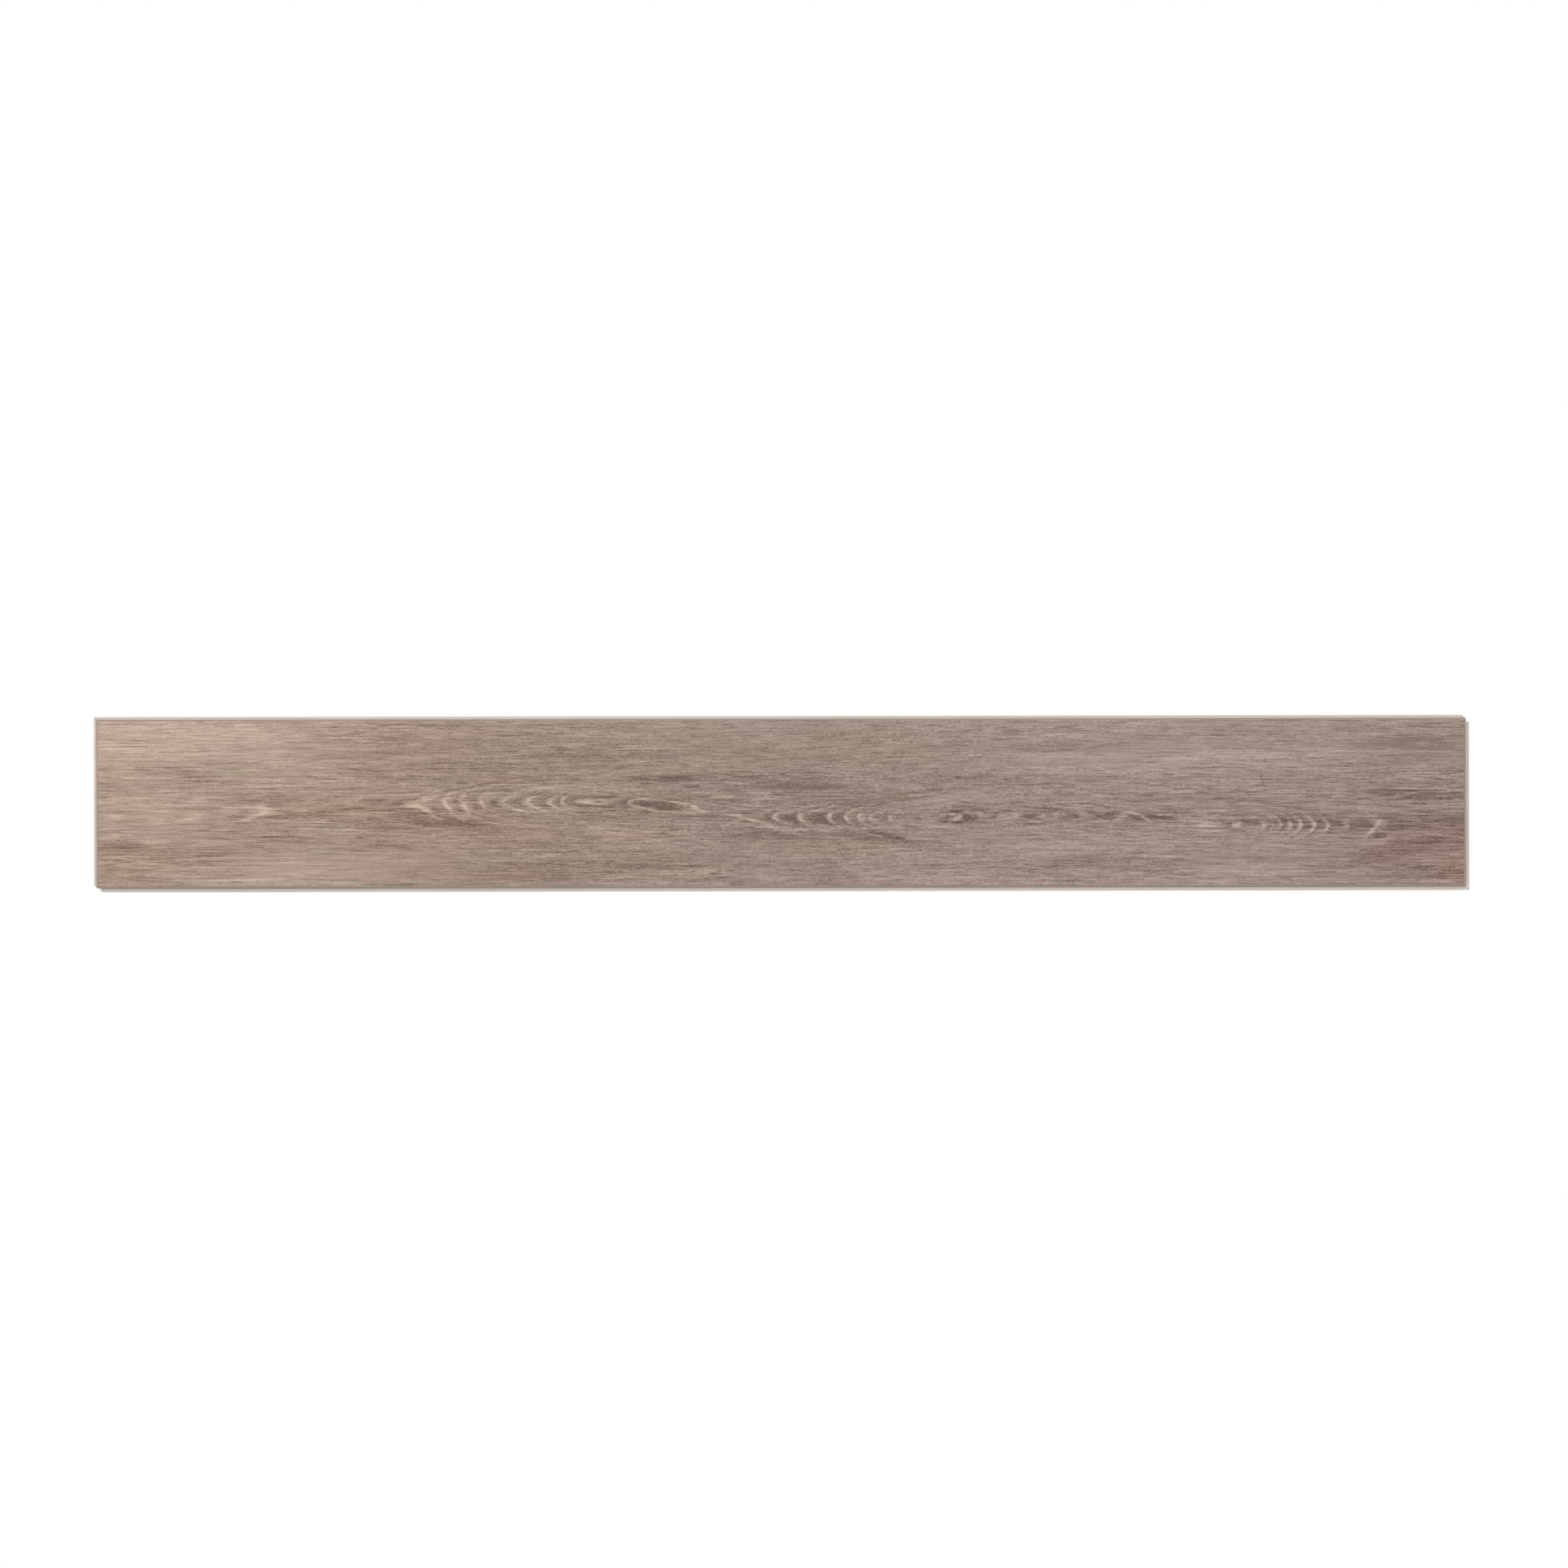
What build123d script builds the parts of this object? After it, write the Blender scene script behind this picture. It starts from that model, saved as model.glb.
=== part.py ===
"""Rigid core vinyl floor plank, milled from one sheet, with a click profile on all four edges.

The plank lies flat, decor face up. X runs along the plank, Y across it and Z through it. The origin
is on the underside, below the centre of the visible face. The tongues are on the long +Y edge and
the short -X edge, and the grooves with their locking lips on the long -Y edge and the short +X edge,
so the next plank's tongue drops into each groove and its face closes up against this one's.
"""

import os

from build123d import *

# Driving dimensions, in millimetres.
face_length = 1220.0  # visible face along X, between the outer edges of the bevels
face_width = 150.0  # visible face along Y
thickness = 5.0  # underside to decor face

bevel_width = 1.4  # micro-bevel round the face, seen from above
bevel_depth = 0.6

# Tongue, milled in the middle of the thickness.
tongue_reach = 2.4  # beyond the visible face's edge
tongue_thickness = 1.6  # at its root
tongue_tip_height = 1.0  # of the blunt nose
tongue_heel = 0.8  # from the face's edge to where the belly of the tongue ends
tip_radius = 0.4
belly_radius = 1.2

# Locking lip, below the groove.
lip_reach = 3.4  # beyond the visible face's edge
lip_thickness = 1.3  # at its floor, between the groove and the ridge
ridge_height = 0.6  # of the locking ridge above that floor
ridge_width = 0.9  # flat top of the ridge
ridge_slope = 0.4  # run of the locking flank
ridge_radius = 0.2
lip_end_radius = 0.3

# Room between a tongue edge and the groove edge that it clicks into.
play = 0.1  # over and under the tongue, at its nose and over the ridge
flank_play = 0.05  # between the locking flanks, along the floor
lip_end_play = 0.3  # beyond the end of the lip

# Heights above the underside and distances from the face's edge that follow from those.
bevel_foot = thickness - bevel_depth
heel_height = lip_thickness + play
tongue_top = heel_height + tongue_thickness
nose_bottom = tongue_top - tongue_tip_height
ridge_top = lip_thickness + ridge_height
ridge_inner = lip_reach - ridge_width
flank_foot = ridge_inner - ridge_slope


def tongue_corners(edge):
    """(point, corner radius) pairs down the tongue edge, whose face ends at x = edge."""
    recess_end = edge - lip_reach - lip_end_play
    return [
        ((edge - bevel_width, thickness), 0),
        ((edge, bevel_foot), 0),
        ((edge, tongue_top), 0),
        ((edge + tongue_reach, tongue_top), tip_radius),
        ((edge + tongue_reach, nose_bottom), tip_radius),
        ((edge + tongue_heel, heel_height), belly_radius),
        ((edge - flank_foot + flank_play, heel_height), ridge_radius),
        ((edge - ridge_inner + flank_play, ridge_top + play), ridge_radius),
        ((recess_end, ridge_top + play), lip_end_radius),
        ((recess_end, 0), 0),
    ]


def groove_corners(edge):
    """(point, corner radius) pairs up the groove edge, whose face ends at x = edge, on the -x side."""
    groove_end = edge + tongue_reach + play
    return [
        ((edge - lip_reach, 0), 0),
        ((edge - lip_reach, ridge_top), lip_end_radius),
        ((edge - ridge_inner, ridge_top), ridge_radius),
        ((edge - flank_foot, lip_thickness), ridge_radius),
        ((edge + tongue_heel, lip_thickness), belly_radius),
        ((groove_end, nose_bottom - play), tip_radius),
        ((groove_end, tongue_top + play), tip_radius),
        ((edge, tongue_top + play), 0),
        ((edge, bevel_foot), 0),
        ((edge + bevel_width, thickness), 0),
    ]


def click_section(face_size):
    """Section across a pair of edges: tongue on the +x side, groove on the -x side, y up."""
    corners = tongue_corners(face_size / 2) + groove_corners(-face_size / 2)
    points, radii = zip(*corners)
    with BuildSketch() as section:
        with BuildLine():
            FilletPolyline(*points, radius=radii, close=True)
        make_face()
    return section.sketch


# The long edges are milled first, along X, and then the short edges, along Y. What both cutters
# leave is the plank, and its bevels meet in mitres at the corners.
with BuildPart() as milled:
    with BuildSketch(Plane.YZ):
        add(click_section(face_width))
    extrude(amount=face_length, both=True)
    with BuildSketch(Plane.back):
        add(click_section(face_length))
    extrude(amount=face_width, both=True, mode=Mode.INTERSECT)

# The crossing cutters free a crumb of ridge at two corners, and both fall away.
with BuildPart() as plank:
    add(milled.solids().sort_by(SortBy.VOLUME)[-1])

plank.part.label = "plank"

os.makedirs("parts", exist_ok=True)
export_step(plank.part, "parts/plank.step")

print("solids after milling:", len(milled.solids()))
print("overall size:", plank.part.bounding_box().size)
print("volume, litres:", plank.part.volume / 1e6)
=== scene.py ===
import math

import bpy
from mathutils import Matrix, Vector


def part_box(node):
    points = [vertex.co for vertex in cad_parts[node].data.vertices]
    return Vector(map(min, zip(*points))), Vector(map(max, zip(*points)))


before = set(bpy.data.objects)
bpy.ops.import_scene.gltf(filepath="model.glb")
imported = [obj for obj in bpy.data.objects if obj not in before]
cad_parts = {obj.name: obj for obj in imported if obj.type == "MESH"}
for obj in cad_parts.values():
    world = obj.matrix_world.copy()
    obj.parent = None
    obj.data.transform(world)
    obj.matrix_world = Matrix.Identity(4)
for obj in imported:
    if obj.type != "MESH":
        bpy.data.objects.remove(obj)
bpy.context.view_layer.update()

# The plank lies decor face up: X along it, Y across it, Z up. The materials work in millimetres.
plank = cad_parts["plank"]
mm = 1000.0  # in a metre
half_length = 610.0  # of the visible face
face_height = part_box("plank")[1].z * mm
bevel_foot = 4.4  # height where the bevel meets the butt face


# Small helpers for node trees

def srgb(red, green, blue):
    """The linear colour of an sRGB one, each channel from 0 to 255."""
    linear = []
    for channel in (red, green, blue):
        share = channel / 255.0
        low = share / 12.92
        high = ((share + 0.055) / 1.055) ** 2.4
        linear.append(low if share <= 0.04045 else high)
    return (*linear, 1.0)


def add_node(tree, kind, **settings):
    """A new node with its settings, such as operation="ADD"."""
    node = tree.nodes.new(kind)
    for name, value in settings.items():
        setattr(node, name, value)
    return node


def feed(tree, socket, value):
    """Links a socket to another, or sets its own value."""
    if isinstance(value, bpy.types.NodeSocket):
        tree.links.new(value, socket)
    else:
        socket.default_value = value


def calculate(tree, operation, *values):
    """One step of arithmetic on single values."""
    node = add_node(tree, "ShaderNodeMath", operation=operation)
    for socket, value in zip(node.inputs, values):
        feed(tree, socket, value)
    return node.outputs[0]


def add_up(tree, values):
    """The sum of several values."""
    total = values[0]
    for value in values[1:]:
        total = calculate(tree, "ADD", total, value)
    return total


range_sockets = ("Value", "From Min", "From Max", "To Min", "To Max")


def fade(tree, value, low, high, start=0.0, end=1.0):
    """A smooth change from start to end while the value goes from low to high."""
    node = add_node(tree, "ShaderNodeMapRange", interpolation_type="SMOOTHSTEP", clamp=False)
    for name, setting in zip(range_sockets, (value, low, high, start, end)):
        feed(tree, node.inputs[name], setting)
    return node.outputs[0]


def fade_straight(tree, value, low, high, start=0.0, end=1.0):
    """A straight change from start to end while the value goes from low to high."""
    node = add_node(tree, "ShaderNodeMapRange", clamp=False)
    for name, setting in zip(range_sockets, (value, low, high, start, end)):
        feed(tree, node.inputs[name], setting)
    return node.outputs[0]


def vector(tree, x, y, z=0.0):
    """A vector from three values."""
    node = add_node(tree, "ShaderNodeCombineXYZ")
    for socket, value in zip(node.inputs, (x, y, z)):
        feed(tree, socket, value)
    return node.outputs[0]


def mix_colour(tree, factor, first, second, blend="MIX"):
    """Two colours mixed. A Mix node has its colours at sockets 6 and 7 and their mix at 2."""
    node = add_node(tree, "ShaderNodeMix", data_type="RGBA", blend_type=blend)
    feed(tree, node.inputs[0], factor)
    feed(tree, node.inputs[6], first)
    feed(tree, node.inputs[7], second)
    return node.outputs[2]


def colour_ramp(tree, factor, stops):
    """A colour for each (place, colour) stop and a blend between them."""
    node = add_node(tree, "ShaderNodeValToRGB")
    elements = node.color_ramp.elements
    while len(elements) < len(stops):
        elements.new(0.5)  # it gets its own place below
    for element, (place, colour) in zip(elements, stops):
        element.position = place
        element.color = colour
    feed(tree, node.inputs[0], factor)
    return node.outputs[0]


def plank_curve(tree, along, points, low=0.0, high=1.0):
    """A smooth line through (millimetres along the plank, value) points, all of them from low to high."""
    share = fade_straight(tree, along, -half_length, half_length)
    node = add_node(tree, "ShaderNodeFloatCurve")
    curve = node.mapping.curves[0]
    places = [((x + half_length) / (2 * half_length), (value - low) / (high - low)) for x, value in points]
    curve.points[0].location = places[0]
    curve.points[1].location = places[-1]
    for place in places[1:-1]:
        curve.points.new(*place)
    for point in curve.points:
        point.handle_type = "AUTO_CLAMPED"
    node.mapping.update()
    feed(tree, node.inputs["Value"], share)
    return fade_straight(tree, node.outputs[0], 0.0, 1.0, low, high)


# Node groups

def new_group(name, inputs, outputs):
    """An empty node group with its named sockets, and its tree, inlet and outlet."""
    tree = bpy.data.node_groups.new(name, "ShaderNodeTree")
    for socket, kind in inputs:
        tree.interface.new_socket(socket, in_out="INPUT", socket_type=kind)
    for socket, kind in outputs:
        tree.interface.new_socket(socket, in_out="OUTPUT", socket_type=kind)
    inlet = tree.nodes.new("NodeGroupInput").outputs
    outlet = tree.nodes.new("NodeGroupOutput").inputs
    return tree, inlet, outlet


def use_group(tree, group, **values):
    """A group placed in a tree, with its sockets fed by name, and its first output."""
    node = add_node(tree, "ShaderNodeGroup", node_tree=group)
    for name, value in values.items():
        feed(tree, node.inputs[name], value)
    return node.outputs[0]


def draw_out(tree, inlet):
    """A group's place in steps of its length and height, so that a texture is drawn out along X."""
    stretch = vector(tree, inlet["Length"], inlet["Height"], 1.0)
    drawn = add_node(tree, "ShaderNodeVectorMath", operation="DIVIDE")
    feed(tree, drawn.inputs[0], inlet["Place"])
    feed(tree, drawn.inputs[1], stretch)
    return drawn.outputs[0]


fibre_roughness = 0.6  # of the noise


def make_fibres():
    """Wood fibres: noise drawn out along X, about -1 to 1."""
    tree, inlet, outlet = new_group(
        "Fibres",
        [("Place", "NodeSocketVector"), ("Length", "NodeSocketFloat"), ("Height", "NodeSocketFloat"),
         ("Detail", "NodeSocketFloat"), ("Seed", "NodeSocketFloat")],
        [("Streaks", "NodeSocketFloat")],
    )
    drawn = draw_out(tree, inlet)
    seed = vector(tree, inlet["Seed"], inlet["Seed"], inlet["Seed"])
    apart = add_node(tree, "ShaderNodeVectorMath", operation="ADD")
    feed(tree, apart.inputs[0], drawn)
    feed(tree, apart.inputs[1], seed)
    noise = add_node(tree, "ShaderNodeTexNoise", noise_dimensions="3D")
    feed(tree, noise.inputs["Vector"], apart.outputs[0])
    feed(tree, noise.inputs["Scale"], 1.0)
    feed(tree, noise.inputs["Detail"], inlet["Detail"])
    feed(tree, noise.inputs["Roughness"], fibre_roughness)
    feed(tree, outlet["Streaks"], fade_straight(tree, noise.outputs[0], 0.0, 1.0, -1.0, 1.0))
    return tree


def make_dashes():
    """Short flat-toned dashes of grain along X, each of its own tone, -1 to 1."""
    tree, inlet, outlet = new_group(
        "Dashes",
        [("Place", "NodeSocketVector"), ("Length", "NodeSocketFloat"), ("Height", "NodeSocketFloat")],
        [("Tone", "NodeSocketFloat")],
    )
    drawn = draw_out(tree, inlet)
    cells = add_node(tree, "ShaderNodeTexVoronoi", voronoi_dimensions="2D", feature="F1")
    feed(tree, cells.inputs["Vector"], drawn)
    feed(tree, cells.inputs["Scale"], 1.0)
    parts = add_node(tree, "ShaderNodeSeparateColor")
    feed(tree, parts.inputs[0], cells.outputs["Color"])
    feed(tree, outlet["Tone"], fade_straight(tree, parts.outputs[0], 0.0, 1.0, -1.0, 1.0))
    return tree


bow_sockets = (
    "Along", "Across", "Middle along", "Middle across", "Half height", "Bend", "Slant", "Half width",
    "Tone", "Sum",
)
stroke_core = 0.3  # share of a stroke's half width that has its full tone
stroke_taper = 0.45  # square of the share of its half height where its ends begin to fade


def make_bow():
    """Adds a bowed stroke across the grain to a sum, such as the tip of a growth ring."""
    inputs = [(name, "NodeSocketFloat") for name in bow_sockets]
    tree, inlet, outlet = new_group("Bow", inputs, [("Sum", "NodeSocketFloat")])
    along = calculate(tree, "SUBTRACT", inlet["Along"], inlet["Middle along"])
    across = calculate(tree, "SUBTRACT", inlet["Across"], inlet["Middle across"])
    share = calculate(tree, "DIVIDE", across, inlet["Half height"])
    square = calculate(tree, "MULTIPLY", share, share)
    bowed = calculate(tree, "MULTIPLY", square, inlet["Bend"])
    bend = calculate(tree, "MULTIPLY_ADD", across, inlet["Slant"], bowed)
    beside = calculate(tree, "ABSOLUTE", calculate(tree, "SUBTRACT", along, bend))
    share_beside = calculate(tree, "DIVIDE", beside, inlet["Half width"])
    tone = fade(tree, share_beside, stroke_core, 1.0, inlet["Tone"], 0.0)
    ends = fade(tree, square, stroke_taper, 1.0, 1.0, 0.0)
    feed(tree, outlet["Sum"], calculate(tree, "MULTIPLY_ADD", tone, ends, inlet["Sum"]))
    return tree


fibres = make_fibres()
dashes = make_dashes()
bow = make_bow()


# Oak decor

# Rings, marks and patches were placed with a ruler on the photograph. Places are millimetres from
# the middle of the face, along it to the right and across it upwards. A curve's range holds all of its
# values, and it is 0 to 1 where none is named. Tones run from dark, 0, to pale, 1.

# Where the growth rings' tips lie along the plank, and which ring each one is. Between tips of rising
# rings the arcs close to the right, and between falling ones to the left.
ring_tips = [
    (-610, 0.7), (-591, 1), (-520, 2), (-461, 3), (-410, 3.4), (-356, 3.3), (-331, 3), (-300, 2),
    (-285, 1), (-268, 0), (-251, -1), (-229, -2), (-207, -3), (-195, -4), (-184, -4.9), (-170, -5.0),
    (-157, -5.05), (-143, -4.5), (-135, -5), (-106, -5.45), (-72, -5), (-24, -4.4), (-7, -5), (16, -6),
    (42, -7), (58, -8), (69, -9), (81, -10), (97, -11), (110, -11.6), (161, -12), (209, -11), (248, -10),
    (272, -9), (316, -8), (379, -7), (408, -6), (432, -5), (445, -4), (454, -3), (463, -2), (475, -1),
    (487, 0), (505, 1), (533, 2), (610, 2.9),
]
ring_range = (-13.0, 5.0)

# Height of the line that the tips lie on, across the plank.
heart_line = [
    (-610, -13), (-520, -12), (-466, -7), (-330, -1), (-226, 1), (-150, 1), (-110, -2), (-45, -9),
    (16, -13), (161, -13.5), (266, -11), (316, -12), (374, -18), (461, -20), (533, -22), (610, -22),
]
heart_range = (-25.0, 5.0)

# How clear the rings' tips are along the plank, 0 to 1.
ring_clearness = [
    (-610, 0.5), (-520, 0.35), (-480, 0.4), (-461, 0.6), (-440, 0.3), (-360, 0.1), (-331, 1.0),
    (-230, 1.0), (-157, 0.9), (-106, 0.7), (-72, 0.6), (-24, 0.5), (16, 1.0), (81, 0.7), (110, 0.3),
    (161, 0.1), (209, 0.4), (270, 0.5), (316, 0.2), (379, 0.2), (420, 0.4), (440, 0.9), (487, 1.0),
    (497, 0.15), (514, 0.15), (527, 0.9), (537, 0.9), (560, 0.2), (610, 0.1),
]

# How far the arcs lean along the plank, in millimetres for each millimetre across it.
ring_slant = [
    (-610, 0), (-461, -0.4), (-400, 0), (-340, 0.3), (-300, 0.5), (-262, 0.4), (-245, 0), (-100, 0.3),
    (0, 0), (400, 0), (500, 0), (533, -1.0), (560, 0), (610, 0),
]
slant_range = (-1.2, 1.2)

# Half height of an arc's blunt tip, in millimetres.
tip_roundness = [
    (-610, 15), (-461, 19), (-331, 15), (-290, 22), (-262, 20), (-245, 15), (0, 13), (58, 16), (97, 14),
    (300, 14), (440, 17), (533, 26), (610, 20),
]
roundness_range = (0.0, 30.0)
ring_crowding = 6.7  # rings crossed over one tip's half height, further out

# Tone over one ring: a pale limed line at both ends of it, and a brown edge outside that line.
ring_profile = [
    (0.00, 1.0), (0.08, 0.75), (0.16, 0.15), (0.28, 0.05), (0.55, 0.3), (0.82, 0.42), (0.92, 0.75),
    (1.00, 1.0),
]
ring_middle = 0.4  # tone of the profile that is neither light nor dark
count_offset = 50.0  # added to the ring count, so that it is above zero

fading_distance = (5.0, 17.0)  # from the tips' line, where the rings begin to fade and where they are faint
faded_rings = 0.12  # share of their contrast that is left there


def ring_count(tree, along, across):
    """Number of growth rings counted outwards, and the distance from the line that their tips lie on."""
    heart = plank_curve(tree, along, heart_line, *heart_range)
    off_heart = calculate(tree, "SUBTRACT", across, heart)
    lean = plank_curve(tree, along, ring_slant, *slant_range)
    leaning = calculate(tree, "MULTIPLY_ADD", off_heart, lean, along)
    tips = plank_curve(tree, leaning, ring_tips, *ring_range)
    roundness = plank_curve(tree, along, tip_roundness, *roundness_range)
    share = calculate(tree, "DIVIDE", off_heart, roundness)
    square = calculate(tree, "MULTIPLY", share, share)
    root = calculate(tree, "SQRT", calculate(tree, "ADD", square, 1.0))
    beside = calculate(tree, "MULTIPLY_ADD", root, ring_crowding, -ring_crowding)
    return calculate(tree, "ADD", tips, beside), off_heart


def grey(value):
    """A grey from black, 0, to white, 1."""
    return (value, value, value, 1.0)


def ring_tone(tree, count):
    """Light and dark of the growth ring that a count is in."""
    phase = calculate(tree, "FRACT", calculate(tree, "ADD", count, count_offset))
    tone = colour_ramp(tree, phase, [(place, grey(value)) for place, value in ring_profile])
    return calculate(tree, "SUBTRACT", tone, ring_middle)


def make_rings(tree, along, ragged_along, across):
    """Light and dark of all growth rings, clear near the line of their tips and faint away from it."""
    count, off_heart = ring_count(tree, ragged_along, across)
    rings = ring_tone(tree, count)
    clear = plank_curve(tree, along, ring_clearness)
    near = fade(tree, calculate(tree, "ABSOLUTE", off_heart), *fading_distance, 1.0, faded_rings)
    return calculate(tree, "MULTIPLY", rings, calculate(tree, "MULTIPLY", clear, near))


# Change of tone along the plank, set by comparing stretches of the render with the photograph.
light_along = [
    (-610, 0.03), (-470, 0.04), (-330, 0.0), (-216, -0.02), (-130, -0.035), (-43, -0.033), (43, -0.062),
    (130, -0.035), (216, -0.01), (303, -0.005), (430, -0.02), (520, -0.045), (610, -0.065),
]
light_range = (-0.1, 0.1)

# Where the fibres run in long streaks, 1, and where they are short flecks, 0.
fibre_length = [
    (-610, 1.0), (-430, 1.0), (-260, 0.6), (-60, 0.2), (150, 0.1), (270, 0.4), (400, 0.65), (610, 0.85),
]

# Broad light and dark of the wood: (along, across, half length, half height, slope, change of tone).
broad_tones = [
    (0, 80, 900, 34, 0, 0.09), (100, -5, 700, 24, 0, -0.06), (-560, 60, 260, 60, 0, 0.30),
    (-560, -5, 110, 35, 0, 0.20), (-440, -62, 160, 25, 0.05, 0.16), (-450, 15, 70, 14, 0, 0.10),
    (-590, -38, 60, 9, 0, -0.09), (-520, -46, 80, 10, 0.05, -0.07), (-530, 27, 60, 9, 0, -0.16),
    (-455, 5, 60, 7, 0, -0.10), (-340, -15, 170, 12, -0.03, -0.13), (-282, -20, 75, 10, -0.05, -0.10),
    (-350, -37, 80, 8, 0, -0.13), (-275, 36, 60, 12, 0, -0.12), (-170, 43, 130, 7, 0, -0.08),
    (-300, -2, 50, 6, -0.02, 0.12), (-230, -60, 80, 14, 0, -0.07), (-105, 22, 60, 8, 0, -0.22),
    (-10, 22, 110, 7, 0, -0.18), (0, 14, 100, 6, 0, -0.20), (-120, -55, 130, 9, 0, -0.12),
    (-30, -28, 90, 9, -0.05, -0.18), (20, -16, 80, 9, 0, -0.12), (85, -31, 80, 8, -0.12, -0.22),
    (160, 21, 80, 7, 0, -0.15), (160, -13, 38, 11, 0, -0.14), (260, 48, 70, 7, 0, -0.08),
    (290, -54, 120, 8, 0, -0.17), (300, -11, 130, 9, -0.03, -0.14), (440, -17, 90, 9, 0, -0.16),
    (540, -22, 110, 14, 0, -0.16), (560, -42, 110, 14, 0.2, -0.22), (570, 8, 90, 14, 0, -0.17),
    (605, -16, 50, 9, 0, -0.20), (590, -62, 80, 14, 0, -0.18), (400, 38, 220, 25, 0, 0.10),
    (220, 37, 110, 14, 0, 0.10), (145, 3, 80, 9, 0.12, 0.14), (250, -41, 90, 10, 0, 0.12),
    (570, 52, 70, 14, 0, -0.12), (376, -19.5, 24, 5, 0, 0.2), (130, -65, 100, 12, 0, 0.10),
    (-150, -24, 70, 9, 0, 0.10), (400, -60, 80, 10, 0, 0.08), (-114, -2, 50, 8, -0.05, -0.16),
]

# Calmer stretches of the grain, in the same terms but with the change of its contrast.
calm_patches = [
    (-370, -52, 210, 26, 0, -0.5), (40, 50, 220, 26, 0, -0.3), (320, 45, 150, 24, 0, -0.4),
    (450, -52, 150, 20, 0, -0.25), (-420, 45, 120, 18, 0, -0.25), (560, 52, 120, 18, 0, -0.4),
]

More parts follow.
